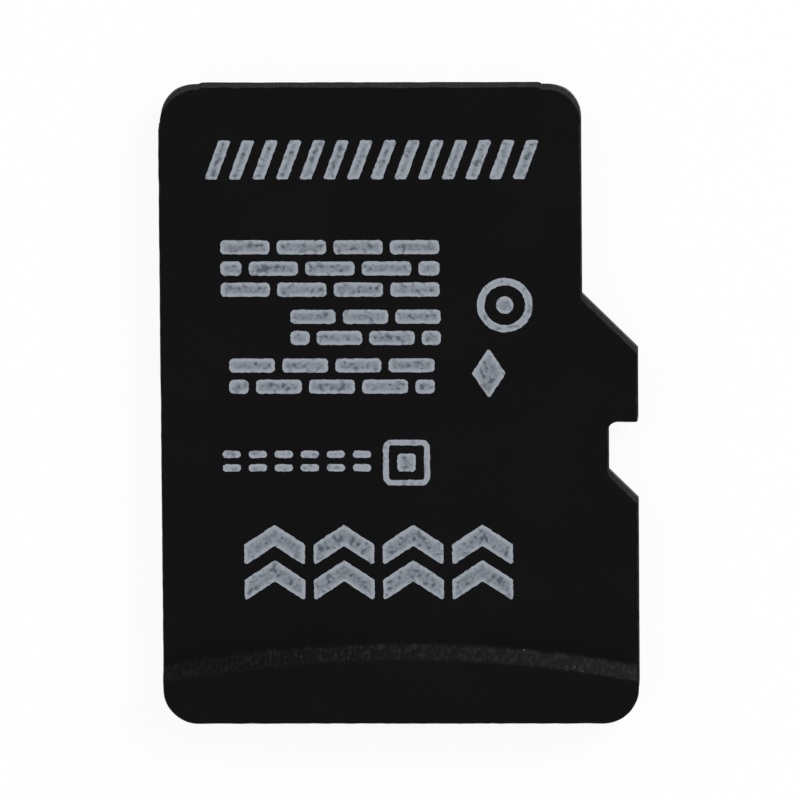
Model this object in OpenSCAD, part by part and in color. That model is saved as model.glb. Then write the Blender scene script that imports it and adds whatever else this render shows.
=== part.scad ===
// Thin removable memory card: a laminate board with contacts below and chips above,
// and an epoxy body moulded over it.
// +Z is the label side, +Y the contact end that enters the slot first, and +X the side
// with the shoulder and the notch. The origin is the centre of the underside.
// Front means the contact end and rear the end with the finger lip.

/* [Outline] */
// Length from the front edge to the rear edge
card_length = 15; // [14.8:0.1:17]
// Width across the wide rear part
card_width = 11; // [10.8:0.1:12]
// Width of the narrow front part
front_width = 9.72; // [9.5:0.02:10]
// Distance from the front edge to the start of the 45 degree shoulder
shoulder_start = 5; // [4.8:0.1:5.8]
// Distance from the front edge to the notch's front wall
notch_start = 7.92; // [7.5:0.01:8.4]
// Depth of the notch into the side
notch_depth = 0.68; // [0.44:0.02:0.8]
// Length of the notch's straight floor, ahead of its 45 degree rear wall
notch_floor = 1.24; // [0.79:0.05:1.79]
// Radius where the notch's front wall meets its floor
notch_radius = 0.2; // [0.1:0.05:0.4]
// Radius of the front left corner
front_left_radius = 0.83; // [0.4:0.01:1.2]
// Radius of the front right corner
front_right_radius = 0.8; // [0.4:0.01:1.2]
// Radius of the two rear corners
rear_radius = 0.83; // [0.4:0.01:1.2]
// How far the cut front corners stand back from the front edge
corner_inset = 0.05; // [0.01:0.005:0.08]
// How far the front left corner's cut stands back from the left edge
corner_side_inset = 0.04; // [0.01:0.005:0.08]
// Straight stretch of a corner's cut past its arc
corner_run = 0.12; // [0.02:0.02:0.3]

/* [Thickness] */
// Thickness of the card ahead of the finger lip
body_thickness = 0.7; // [0.66:0.02:1]
// Rise of the finger lip above the label face
lip_rise = 0.3; // [0.1:0.05:0.5]
// Length of the lip's flat top on the centre line
lip_length = 1.55; // [1:0.05:2.5]
// Length of the ramp that climbs to the lip
ramp_run = 0.23; // [0.1:0.01:0.6]
// Radius of the arc that the ramp follows across the card
lip_arc_radius = 29; // [20:1:60]
// Size of the 45 degree bevel under the front edge
front_bevel = 0.2; // [0.05:0.01:0.3]
// Thickness of the laminate board
board_thickness = 0.18; // [0.14:0.01:0.22]

/* [Contacts] */
// Distance between neighbouring contacts' centres
contact_pitch = 1.1; // [1:0.01:1.12]
// Width of a contact
contact_width = 0.8; // [0.6:0.05:0.9]
// Length of a signal contact
contact_length = 2.9; // [2.4:0.1:3.2]
// Radius of a contact's corners
contact_radius = 0.1; // [0.02:0.01:0.25]
// Distance from the front edge to the signal contacts' front ends
contact_setback = 1.1; // [0.9:0.05:1.3]
// How much nearer the front edge the supply contacts begin
supply_lead = 0.3; // [0.1:0.05:0.5]
// Distance from the left side to the nearest contact's centre
contact_side = 1; // [0.8:0.05:1.2]
// Depth of the contacts' faces below the underside
contact_recess = 0.01; // [0.005:0.005:0.03]
// Thickness of a contact
contact_thickness = 0.03; // [0.015:0.005:0.04]

/* [Board wiring] */
// Radius of the plated vias that rise from the contacts
via_radius = 0.05; // [0.03:0.005:0.06]
// Distance from a signal contact's front end to its via
via_setback = 1.2; // [0.9:0.05:1.3]
// Radius of the land that tops a via
land_radius = 0.09; // [0.07:0.01:0.12]
// Thickness of the copper traces let into the board's upper face
trace_thickness = 0.015; // [0.01:0.005:0.03]
// Width of a trace
trace_width = 0.06; // [0.04:0.01:0.08]
// Width of a bond finger
finger_width = 0.12; // [0.08:0.01:0.16]
// Length of a bond finger
finger_length = 0.25; // [0.15:0.01:0.3]

/* [Memory stack] */
// Width of a memory die across the card
memory_width = 8.9; // [8.2:0.1:9]
// Length of a memory die along the card
memory_length = 8.8; // [8:0.1:9]
// Thickness of a memory die
memory_thickness = 0.05; // [0.04:0.005:0.06]
// Distance by which each die is set back from the one below
shingle_setback = 0.3; // [0.28:0.01:0.34]
// Distance from the rear edge to the stack
stack_rear_margin = 0.45; // [0.3:0.05:0.6]
// Distance from the left side to the stack
stack_side_margin = 0.5; // [0.4:0.05:0.6]
// Thickness of the adhesive film under every die
film_thickness = 0.01; // [0.005:0.005:0.015]
// Number of bond wires in each row of the stack
memory_bonds = 12; // [4:1:12]
// Distance between bond wires on the stack
memory_bond_pitch = 0.4; // [0.3:0.01:0.45]
// Distance from the stack to the middle of its bond fingers
memory_finger_gap = 0.35; // [0.3:0.01:0.45]

/* [Controller] */
// Width of the controller die across the card
controller_width = 3.4; // [3.2:0.1:4]
// Length of the controller die along the card
controller_length = 2; // [1.6:0.1:2.1]
// Thickness of the controller die
controller_thickness = 0.06; // [0.04:0.005:0.1]
// Distance from the front edge to the controller die
controller_setback = 1.15; // [1.1:0.05:1.3]
// Distance from the controller die to the middle of its bond fingers
controller_finger_gap = 0.4; // [0.3:0.01:0.42]
// Distance between bond wires on the controller's rear side
memory_bus_pitch = 0.25; // [0.2:0.01:0.26]
// Distance between bond wires on the controller's front side
contact_bus_pitch = 0.35; // [0.3:0.01:0.38]

/* [Bond wires] */
// Radius of a bond wire
wire_radius = 0.0125; // [0.01:0.0005:0.015]
// Radius of the ball that starts a bond wire
ball_radius = 0.025; // [0.02:0.001:0.03]
// Height of the ball
ball_height = 0.015; // [0.01:0.001:0.02]
// Distance from a die's edge to the balls
ball_inset = 0.09; // [0.07:0.005:0.1]
// Distance from a die's edge to the wires that land on it
stitch_inset = 0.2; // [0.18:0.005:0.21]
// Height of a loop between two dies above the line from end to end
step_loop_rise = 0.07; // [0.06:0.005:0.1]
// Height of a loop down to the board above the line from end to end
board_loop_rise = 0.1; // [0.09:0.005:0.14]

/* [Capacitors] */
// Length of a chip capacitor
capacitor_length = 0.6; // [0.5:0.05:0.7]
// Width and height of a chip capacitor
capacitor_width = 0.3; // [0.2:0.02:0.34]
// Length of the metal cap on each end
terminal_length = 0.15; // [0.1:0.01:0.2]
// Wall of the metal cap
terminal_wall = 0.015; // [0.01:0.005:0.03]
// Thickness of the solder under a capacitor
solder_thickness = 0.015; // [0.01:0.005:0.03]
// Height of the solder fillet up a capacitor's end
fillet_rise = 0.12; // [0.05:0.01:0.15]
// Length of the solder pad that shows past a capacitor's end
pad_reach = 0.1; // [0.05:0.01:0.15]
// Distance from the controller die to a capacitor's solder pad
capacitor_gap = 0.4; // [0.2:0.05:0.5]
// Distance between the two capacitors that stand side by side
capacitor_spacing = 0.55; // [0.45:0.05:0.65]
// Distance from the controller die's rear edge forward to the capacitors' middle
capacitor_row_lead = 0.12; // [0:0.02:0.14]

/* [Hidden] */
contact_count = 8;
supply_contacts = [4, 6];
memory_count = 4;
capacitor_count = 3;

// Length by which a cutting shape reaches past what it cuts
cut_margin = 0.5;
// Facets of the round shapes, wide arcs finer than thin wires
arc_fn = 96;
wide_arc_fn = 256;
wire_fn = 24;
// Angle by which a wire's arc runs on into its pads before it is trimmed flush
wire_overrun = 8;

front_y = card_length / 2;
rear_y = -card_length / 2;
left_x = -card_width / 2;
right_x = card_width / 2;
front_right_x = left_x + front_width;
lip_z = body_thickness + lip_rise;
trace_z = board_thickness - trace_thickness;

contact_top_z = contact_recess + contact_thickness;
contact_front_y = front_y - contact_setback;
contact_rear_y = contact_front_y - contact_length;
contact_row_x = left_x + contact_side + (contact_count - 1) * contact_pitch / 2;
via_y = contact_front_y - via_setback;

memory_tier = memory_thickness + film_thickness;
stack_x = left_x + stack_side_margin + memory_width / 2;
stack_front_y = rear_y + stack_rear_margin + memory_length + (memory_count - 1) * shingle_setback;
memory_finger_y = stack_front_y + memory_finger_gap;

controller_x = contact_row_x;
controller_front_y = front_y - controller_setback;
controller_rear_y = controller_front_y - controller_length;
controller_floor_z = board_thickness + film_thickness;
controller_top_z = controller_floor_z + controller_thickness;
front_finger_y = controller_front_y + controller_finger_gap;
rear_finger_y = controller_rear_y - controller_finger_gap;
finger_half = finger_length / 2;

capacitor_floor_z = board_thickness + solder_thickness;
pad_end = capacitor_length / 2 + pad_reach;
capacitor_offset_x = controller_width / 2 + capacitor_gap + pad_end;
capacitor_row_y = controller_rear_y + capacitor_row_lead;
capacitor_places = [
    [controller_x - capacitor_offset_x, capacitor_row_y + capacitor_spacing / 2],
    [controller_x - capacitor_offset_x, capacitor_row_y - capacitor_spacing / 2],
    [controller_x + capacitor_offset_x, capacitor_row_y]
];

// Place k of a row of count places with the given pitch, centred on middle
function row_place(k, count, pitch, middle) = middle + (k - (count + 1) / 2) * pitch;

// Contacts are counted from the shoulder's side, so their places run towards -X
function contact_x(k) = row_place(contact_count + 1 - k, contact_count, contact_pitch, contact_row_x);
function contact_lead(k) = len(search(k, supply_contacts)) > 0 ? supply_lead : 0;
function contact_finger_x(k) =
    row_place(contact_count + 1 - k, contact_count, contact_bus_pitch, controller_x);
function memory_bond_x(k) = row_place(k, memory_bonds, memory_bond_pitch, stack_x);
function memory_bus_x(k) = row_place(k, memory_bonds, memory_bus_pitch, controller_x);

// Front edge and height of memory die k, counted from the board up
function memory_front_y(k) = stack_front_y - (k - 1) * shingle_setback;
function memory_floor_z(k) = board_thickness + (k - 1) * memory_tier;
function memory_top_z(k) = memory_floor_z(k) + memory_tier;

// Waste of a rounded corner whose arc stands back by inset from both edges.
// The corner's tip is at the origin and the card lies towards +X and +Y.
module corner_waste(radius, inset, run) {
    reach = radius + max(inset) + run;
    difference() {
        translate([-cut_margin, -cut_margin]) square([reach + cut_margin, reach + cut_margin]);
        translate([inset[0] + radius, inset[1]]) square(2 * reach);
        translate([inset[0], inset[1] + radius]) square(2 * reach);
        translate([inset[0] + radius, inset[1] + radius]) circle(r = radius, $fn = arc_fn);
    }
}

// Waste beside the narrow front part, down to the shoulder's 45 degree edge
module shoulder_waste() {
    far_x = right_x + cut_margin;
    shoulder_y = front_y - shoulder_start;
    polygon([
        [front_right_x, front_y + cut_margin],
        [front_right_x, shoulder_y],
        [far_x, shoulder_y - (far_x - front_right_x)],
        [far_x, front_y + cut_margin]
    ]);
}

// Waste of the notch: straight front wall, rounded inner corner, floor, 45 degree rear wall
module notch_waste() {
    far_x = right_x + cut_margin;
    floor_x = right_x - notch_depth;
    wall_y = front_y - notch_start;
    slant_y = wall_y - notch_floor;
    difference() {
        polygon([
            [floor_x, wall_y],
            [far_x, wall_y],
            [far_x, slant_y - (far_x - floor_x)],
            [floor_x, slant_y]
        ]);
        translate([floor_x, wall_y]) mirror([0, 1]) corner_waste(notch_radius, [0, 0], 0);
    }
}

// The card's outline, seen from the label side
module card_outline() {
    difference() {
        translate([left_x, rear_y]) square([card_width, card_length]);
        shoulder_waste();
        notch_waste();
        translate([left_x, front_y]) mirror([0, 1])
            corner_waste(front_left_radius, [corner_side_inset, corner_inset], corner_run);
        translate([front_right_x, front_y]) rotate(180)
            corner_waste(front_right_radius, [0, corner_inset], corner_run);
        translate([left_x, rear_y]) corner_waste(rear_radius, [0, 0], 0);
        translate([right_x, rear_y]) mirror([1, 0]) corner_waste(rear_radius, [0, 0], 0);
    }
}

// Bevel that eases the underside's front edge into the slot
module front_bevel_waste() {
    reach = front_bevel + cut_margin;
    translate([left_x - cut_margin, front_y + cut_margin, -cut_margin]) rotate([90, 0, 90])
        linear_extrude(card_width + 2 * cut_margin)
            polygon([[-reach - cut_margin, 0], [0, 0], [0, reach + cut_margin]]);
}

// Space over the label face, ahead of the lip's conical ramp
module label_relief() {
    difference() {
        translate([left_x - cut_margin, rear_y, body_thickness])
            cube([card_width + 2 * cut_margin, card_length + cut_margin, 1.5 * lip_rise]);
        translate([0, rear_y + lip_length - lip_arc_radius, body_thickness])
            cylinder(
                h = 2 * lip_rise,
                r1 = lip_arc_radius + ramp_run,
                r2 = lip_arc_radius - ramp_run,
                $fn = wide_arc_fn
            );
    }
}

// Contact k seen from below: a rectangle with round corners
module contact_shape(k) {
    length = contact_length + contact_lead(k);
    far = [contact_width - contact_radius, length - contact_radius];
    translate([contact_x(k) - contact_width / 2, contact_rear_y]) {
        translate([contact_radius, 0]) square([far[0] - contact_radius, length]);
        translate([0, contact_radius]) square([contact_width, far[1] - contact_radius]);
        for (x = [contact_radius, far[0]], y = [contact_radius, far[1]])
            translate([x, y]) circle(r = contact_radius, $fn = arc_fn);
    }
}

module contact(k) {
    color([0.83, 0.69, 0.36])
        translate([0, 0, contact_recess]) linear_extrude(contact_thickness) contact_shape(k);
}

// Plated barrels from the contacts up to the traces
module contact_vias() {
    color([0.72, 0.45, 0.3])
        for (k = [1:contact_count])
            translate([contact_x(k), via_y, contact_top_z])
                cylinder(h = trace_z - contact_top_z, r = via_radius, $fn = wire_fn);
}

// Straight copper strip with round ends
module strip(from, to, width) {
    run = to - from;
    translate(from) rotate(atan2(run[1], run[0])) translate([0, -width / 2]) square([norm(run), width]);
    translate(from) circle(r = width / 2, $fn = wire_fn);
    translate(to) circle(r = width / 2, $fn = wire_fn);
}

module bond_finger(x, y) {
    translate([x - finger_width / 2, y - finger_half]) square([finger_width, finger_length]);
}

// Each trace runs from the land over its via to a bond finger ahead of the controller
module contact_traces() {
    color([0.72, 0.45, 0.3])
        translate([0, 0, trace_z]) linear_extrude(trace_thickness)
            for (k = [1:contact_count]) {
                translate([contact_x(k), via_y]) circle(r = land_radius, $fn = arc_fn);
                strip([contact_x(k), via_y], [contact_finger_x(k), front_finger_y - finger_half], trace_width);
                bond_finger(contact_finger_x(k), front_finger_y);
            }
}

// Each trace joins a bond finger behind the controller to one ahead of the memory stack
module memory_traces() {
    color([0.72, 0.45, 0.3])
        translate([0, 0, trace_z]) linear_extrude(trace_thickness)
            for (k = [1:memory_bonds]) {
                bond_finger(memory_bus_x(k), rear_finger_y);
                strip(
                    [memory_bus_x(k), rear_finger_y - finger_half],
                    [memory_bond_x(k), memory_finger_y + finger_half],
                    trace_width
                );
                bond_finger(memory_bond_x(k), memory_finger_y);
            }
}

module memory_film(k) {
    color([0.78, 0.68, 0.42])
        translate([stack_x - memory_width / 2, memory_front_y(k) - memory_length, memory_floor_z(k)])
            cube([memory_width, memory_length, film_thickness]);
}

module memory_die(k) {
    color([0.36, 0.38, 0.42])
        translate([
            stack_x - memory_width / 2,
            memory_front_y(k) - memory_length,
            memory_floor_z(k) + film_thickness
        ])
            cube([memory_width, memory_length, memory_thickness]);
}

// Wire that rises from a ball and falls along one arc: ball and stitch are [y, z] places.
// Its ends run on past their pads, so that they can be trimmed flush.
module wire_loop(x, ball, stitch, rise) {
    near = ball[0] < stitch[0] ? ball : stitch;
    far = ball[0] < stitch[0] ? stitch : ball;
    middle = (near + far) / 2;
    chord = norm(far - near);
    arc_radius = (chord * chord / 4 + rise * rise) / (2 * rise);
    half_angle = asin(chord / (2 * arc_radius)) + wire_overrun;
    slope = atan2(far[1] - near[1], far[0] - near[0]);
    translate([x, middle[0], middle[1]]) rotate([90, 0, 90]) rotate(slope)
        translate([0, rise - arc_radius]) rotate(90 - half_angle)
            rotate_extrude(angle = 2 * half_angle, $fn = arc_fn)
                translate([arc_radius, 0]) circle(r = wire_radius, $fn = wire_fn);
    translate([x, ball[0], ball[1]]) cylinder(h = ball_height, r = ball_radius, $fn = wire_fn);
}

// One row of loops from memory die k to the die below, or from the lowest die to the board
module memory_loops(k) {
    start = [memory_front_y(k) - ball_inset, memory_top_z(k)];
    landing = k == 1
        ? [memory_finger_y, board_thickness]
        : [memory_front_y(k - 1) - stitch_inset, memory_top_z(k - 1)];
    for (bond = [1:memory_bonds])
        wire_loop(memory_bond_x(bond), start, landing, k == 1 ? board_loop_rise : step_loop_rise);
}

// The board's full block, which trims what stands on it
module board_block() {
    translate([left_x, rear_y, 0]) cube([card_width, card_length, board_thickness]);
}

module memory_wires(k) {
    color([0.86, 0.7, 0.3])
        difference() {
            memory_loops(k);
            memory_die(k);
            if (k == 1) board_block();
            else memory_die(k - 1);
        }
}

module controller_film() {
    color([0.78, 0.68, 0.42])
        translate([controller_x - controller_width / 2, controller_rear_y, board_thickness])
            cube([controller_width, controller_length, film_thickness]);
}

module controller_die() {
    color([0.3, 0.32, 0.38])
        translate([controller_x - controller_width / 2, controller_rear_y, controller_floor_z])
            cube([controller_width, controller_length, controller_thickness]);
}

module controller_loops() {
    for (k = [1:contact_count])
        wire_loop(
            contact_finger_x(k),
            [controller_front_y - ball_inset, controller_top_z],
            [front_finger_y, board_thickness],
            board_loop_rise
        );
    for (k = [1:memory_bonds])
        wire_loop(
            memory_bus_x(k),
            [controller_rear_y + ball_inset, controller_top_z],
            [rear_finger_y, board_thickness],
            board_loop_rise
        );
}

module controller_wires() {
    color([0.86, 0.7, 0.3])
        difference() {
            controller_loops();
            controller_die();
            board_block();
        }
}

// Copies its children to both ends of capacitor k
module at_capacitor_ends(k) {
    for (side = [0, 1])
        translate(capacitor_places[k - 1]) mirror([side, 0, 0]) children();
}

module capacitor_pads() {
    color([0.72, 0.45, 0.3])
        for (k = [1:capacitor_count])
            at_capacitor_ends(k)
                translate([capacitor_length / 2 - terminal_length, -capacitor_width / 2, trace_z])
                    cube([terminal_length + pad_reach, capacitor_width, trace_thickness]);
}

module capacitor_block(k) {
    color([0.62, 0.52, 0.42])
        translate(capacitor_places[k - 1])
            translate([
                terminal_wall - capacitor_length / 2,
                terminal_wall - capacitor_width / 2,
                capacitor_floor_z + terminal_wall
            ])
                cube([
                    capacitor_length - 2 * terminal_wall,
                    capacitor_width - 2 * terminal_wall,
                    capacitor_width - 2 * terminal_wall
                ]);
}

module capacitor_terminals(k) {
    color([0.76, 0.77, 0.79])
        difference() {
            at_capacitor_ends(k)
                translate([
                    capacitor_length / 2 - terminal_length,
                    -capacitor_width / 2,
                    capacitor_floor_z
                ])
                    cube([terminal_length, capacitor_width, capacitor_width]);
            capacitor_block(k);
        }
}

// Solder under each metal cap, with a fillet up its end
module capacitor_solder(k) {
    end = capacitor_length / 2;
    inner = end - terminal_length;
    color([0.68, 0.69, 0.7])
        at_capacitor_ends(k)
            translate([0, capacitor_width / 2, board_thickness]) rotate([90, 0, 0])
                linear_extrude(capacitor_width)
                    polygon([
                        [inner, 0],
                        [end + pad_reach, 0],
                        [end, solder_thickness + fillet_rise],
                        [end, solder_thickness],
                        [inner, solder_thickness]
                    ]);
}

// Laminate with pockets for the contacts, holes for the vias and channels for the copper
module board() {
    color([0.06, 0.09, 0.08])
        difference() {
            linear_extrude(board_thickness) card_outline();
            front_bevel_waste();
            for (k = [1:contact_count])
                translate([0, 0, -cut_margin])
                    linear_extrude(cut_margin + contact_top_z) contact_shape(k);
            contact_vias();
            contact_traces();
            memory_traces();
            capacitor_pads();
        }
}

// Epoxy over the whole board, formed round everything that stands on it
module moulded_body() {
    color([0.08, 0.08, 0.085])
        difference() {
            translate([0, 0, board_thickness])
                linear_extrude(lip_z - board_thickness) card_outline();
            label_relief();
            front_bevel_waste();
            for (k = [1:memory_count]) {
                memory_film(k);
                memory_die(k);
                memory_loops(k);
            }
            controller_film();
            controller_die();
            controller_loops();
            for (k = [1:capacitor_count]) {
                capacitor_block(k);
                capacitor_terminals(k);
                capacitor_solder(k);
            }
        }
}

moulded_body();
board();
for (k = [1:contact_count])
    contact(k);
contact_vias();
contact_traces();
memory_traces();
capacitor_pads();
for (k = [1:memory_count]) {
    memory_film(k);
    memory_die(k);
    memory_wires(k);
}
controller_film();
controller_die();
controller_wires();
for (k = [1:capacitor_count]) {
    capacitor_block(k);
    capacitor_terminals(k);
    capacitor_solder(k);
}
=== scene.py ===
"""The looks of a thin removable memory card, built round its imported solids.

The moulded body gets a finer skin with broken edges, sawn walls and a rough ramp. The label
print lies on it as thin plates of ink. Board, contacts and all that is moulded in keep their
solids and get their finishes here. Lengths in this file are millimetres until a mesh is made.
"""

import logging
import math
from dataclasses import dataclass, field
from enum import Enum
from typing import Any

import bpy
import numpy as np
from mathutils import Matrix, Vector


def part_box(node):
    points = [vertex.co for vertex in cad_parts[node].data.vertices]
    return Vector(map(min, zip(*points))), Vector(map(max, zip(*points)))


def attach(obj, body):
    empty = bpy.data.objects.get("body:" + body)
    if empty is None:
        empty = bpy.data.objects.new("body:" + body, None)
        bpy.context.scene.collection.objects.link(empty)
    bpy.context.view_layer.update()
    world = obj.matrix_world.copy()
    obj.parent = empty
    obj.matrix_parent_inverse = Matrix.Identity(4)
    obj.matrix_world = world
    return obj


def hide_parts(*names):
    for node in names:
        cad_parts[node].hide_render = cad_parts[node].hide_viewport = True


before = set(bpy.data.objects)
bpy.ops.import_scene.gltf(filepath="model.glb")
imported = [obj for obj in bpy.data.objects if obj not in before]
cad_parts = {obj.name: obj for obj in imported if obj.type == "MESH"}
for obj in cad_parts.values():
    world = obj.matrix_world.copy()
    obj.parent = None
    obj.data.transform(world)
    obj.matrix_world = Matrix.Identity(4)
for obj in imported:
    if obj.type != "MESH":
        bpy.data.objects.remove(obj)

Array = np.ndarray
Colour = tuple[float, float, float]
Grain = float | tuple[float, float, float]
Number = float | int
Span = tuple[float, float]

log = logging.getLogger("card")

MM = 0.001
BODY = "root"
RIM = "rim"
EPOXY: Colour = (0.0034, 0.0034, 0.0035)
WHITE = (1.0, 1.0, 1.0, 1.0)
# Places closer than this many millimetres count as one.
HAIR = 1e-9
# Neighbouring points of an arc turn by no more than this many radians.
ARC_TURN = 0.12


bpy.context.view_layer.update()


def show(name: str, data: bpy.types.ID) -> bpy.types.Object:
    """Makes an object and links it to the scene.

    Args:
        name: Its name.
        data: Its mesh, lamp or camera.

    Returns:
        The object.
    """
    made = bpy.data.objects.new(name, data)
    bpy.context.scene.collection.objects.link(made)
    return made


@dataclass(frozen=True)
class Signal:
    """An output socket on which Python's operators add Math nodes."""

    graph: "Graph"
    socket: bpy.types.NodeSocket

    def math(self, operation: str, *values: Any) -> "Signal":
        """Adds a Math node.

        Args:
            operation: The node's operation.
            values: Its inputs in order, signals or numbers.

        Returns:
            The node's result.
        """
        return self.graph.add("Math", {"operation": operation}, dict(enumerate(values)))

    def __add__(self, other: Any) -> "Signal":
        """Sum."""
        return self.math("ADD", self, other)

    def __sub__(self, other: Any) -> "Signal":
        """Difference."""
        return self.math("SUBTRACT", self, other)

    def __mul__(self, other: Any) -> "Signal":
        """Product."""
        return self.math("MULTIPLY", self, other)

    def __truediv__(self, other: Any) -> "Signal":
        """Quotient."""
        return self.math("DIVIDE", self, other)

    def __rsub__(self, other: Number) -> "Signal":
        """Reflected difference, so that 1 - mask works."""
        return self.math("SUBTRACT", other, self)

    __radd__ = __add__
    __rmul__ = __mul__

    def maximum(self, other: Any) -> "Signal":
        """The larger of two values."""
        return self.math("MAXIMUM", self, other)

    def size(self) -> "Signal":
        """The value without its sign."""
        return self.math("ABSOLUTE", self)

    def between(self, low: Number, high: Number) -> "Signal":
        """Smooth mask: 0 at low, 1 at high; low may be the larger.

        Args:
            low: The value at which the mask is 0.
            high: The value at which the mask is 1.

        Returns:
            The mask.
        """
        start, end, first, last = (low, high, 0, 1) if low < high else (high, low, 1, 0)
        sockets = {0: self, 1: start, 2: end, 3: first, 4: last}
        return self.graph.add("MapRange", {"interpolation_type": "SMOOTHSTEP"}, sockets)


class Graph:
    """The node tree of one material or world."""

    def __init__(self, owner: bpy.types.ID) -> None:
        """Empties the owner's tree.

        Args:
            owner: The material or world.
        """
        owner.use_nodes = True
        self.tree = owner.node_tree
        self.tree.nodes.clear()

    def add(self, kind: str, settings: dict[str, Any], sockets: dict[Any, Any], output: Any = 0) -> Signal:
        """Adds one node.

        Args:
            kind: The node's type without its ShaderNode prefix.
            settings: Its properties, set first.
            sockets: Values or signals for its inputs, by name or number.
            output: The output that is returned, by name or number.

        Returns:
            That output.
        """
        node = self.tree.nodes.new("ShaderNode" + kind)
        for name, value in settings.items():
            setattr(node, name, value)
        for name, value in sockets.items():
            if isinstance(value, Signal):
                self.tree.links.new(value.socket, node.inputs[name])
            else:
                node.inputs[name].default_value = value
        return Signal(self, node.outputs[output] if len(node.outputs) else None)

    def place(self) -> Signal:
        """The point's place on the card, in metres."""
        return self.add("TexCoord", {}, {}, "Object")

    def axis(self, place: Signal, name: str) -> Signal:
        """One coordinate of a place, in millimetres."""
        return self.add("SeparateXYZ", {}, {0: place}, name) * (1 / MM)

    def rim(self) -> Signal:
        """How much the point belongs to its piece's rim, as its mesh says."""
        return self.add("Attribute", {"attribute_name": RIM}, {}, "Fac")

    def noise(self, place: Signal, grain: Grain, detail: float = 2.0) -> Signal:
        """Noise whose grains may be longer on one axis than on another.

        Args:
            place: Where it is read.
            grain: Size of a grain in millimetres, one for all axes or one for each.
            detail: Number of finer layers.

        Returns:
            A value about 0.5.
        """
        scale = [1 / (size * MM) for size in np.broadcast_to(grain, 3)]
        stretched = self.add("VectorMath", {"operation": "MULTIPLY"}, {0: place, 1: scale})
        return self.add("TexNoise", {}, {"Vector": stretched, "Scale": 1.0, "Detail": detail})

    def blend(self, mask: Any, first: Any, second: Any) -> Signal:
        """Mixes two colours by a mask."""
        first, second = ((*c, 1.0) if isinstance(c, tuple) else c for c in (first, second))
        return self.add("Mix", {"data_type": "RGBA"}, {0: mask, 6: first, 7: second}, 2)

    def bump(self, height: Signal, depth: float) -> Signal:
        """Normals tilted by a height from 0 to 1 that stands for depth millimetres."""
        return self.add("Bump", {}, {"Height": height, "Distance": depth * MM, "Strength": 1.0})

    def surface(self, shader: Signal) -> None:
        """Sends a shader to the tree's output."""
        self.add("OutputMaterial", {}, {"Surface": shader})


class Finish:
    """A surface finish that paints one material."""

    name: str

    def material(self) -> bpy.types.Material:
        """Makes the material, once.

        Returns:
            The material.
        """
        made = bpy.data.materials.get(self.name)
        if made is None:
            made = bpy.data.materials.new(self.name)
            graph = Graph(made)
            graph.surface(graph.add("BsdfPrincipled", {}, self.sockets(graph)))
        return made

    def sockets(self, graph: Graph) -> dict[str, Any]:
        """Works out the shader's inputs; each finish has its own."""
        raise NotImplementedError


@dataclass(frozen=True)
class MouldedFace(Finish):
    """Black epoxy moulding compound as it leaves a finely blasted mould."""

    name: str = "mould_face"
    colour: Colour = EPOXY
    cloud_colour: Colour = (0.0043, 0.0042, 0.0041)
    cloud: Grain = (2.4, 1.7, 2.0)
    cloud_mask: Span = (0.35, 0.7)
    grain: Grain = 0.07
    depth: float = 0.0012
    roughness: float = 0.58
    specular: float = 0.065

    def sockets(self, graph: Graph) -> dict[str, Any]:
        """Fine blasted grain, faint clouds of filler.

        Args:
            graph: The material's tree.

        Returns:
            The shader's inputs by name.
        """
        place = graph.place()
        grain = graph.noise(place, self.grain, 3.0)
        cloud = graph.noise(place, self.cloud)
        return {
            "Base Color": graph.blend(cloud.between(*self.cloud_mask), self.colour, self.cloud_colour),
            "Roughness": grain * 0.12 + cloud * 0.08 + self.roughness,
            "Specular IOR Level": self.specular,
            "Normal": graph.bump(grain, self.depth),
        }


@dataclass(frozen=True)
class SawnEdge(Finish):
    """Moulding compound where the card was cut out of its panel."""

    name: str = "mould_cut"
    colour: Colour = (0.017, 0.0175, 0.018)
    filler_colour: Colour = (0.05, 0.05, 0.051)
    streak: Grain = (0.05, 0.05, 0.6)
    streak_mask: Span = (0.3, 0.75)
    filler: Grain = 0.035
    filler_mask: Span = (0.6, 0.72)
    depth: float = 0.006
    roughness: float = 0.8
    specular: float = 0.0

    def sockets(self, graph: Graph) -> dict[str, Any]:
        """Upright streaks of the cut, with opened grains of filler.

        Args:
            graph: The material's tree.

        Returns:
            The shader's inputs by name.
        """
        place = graph.place()
        streak = graph.noise(place, self.streak)
        filler = graph.noise(place, self.filler, 1.0)
        speck = filler.between(*self.filler_mask)
        shade = streak.between(*self.streak_mask) * 0.35 + speck * 0.5
        return {
            "Base Color": graph.blend(shade, self.colour, self.filler_colour),
            "Roughness": self.roughness + streak * 0.2,
            "Specular IOR Level": self.specular,
            "Normal": graph.bump(streak * 0.7 + filler * 0.3, self.depth),
        }


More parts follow.
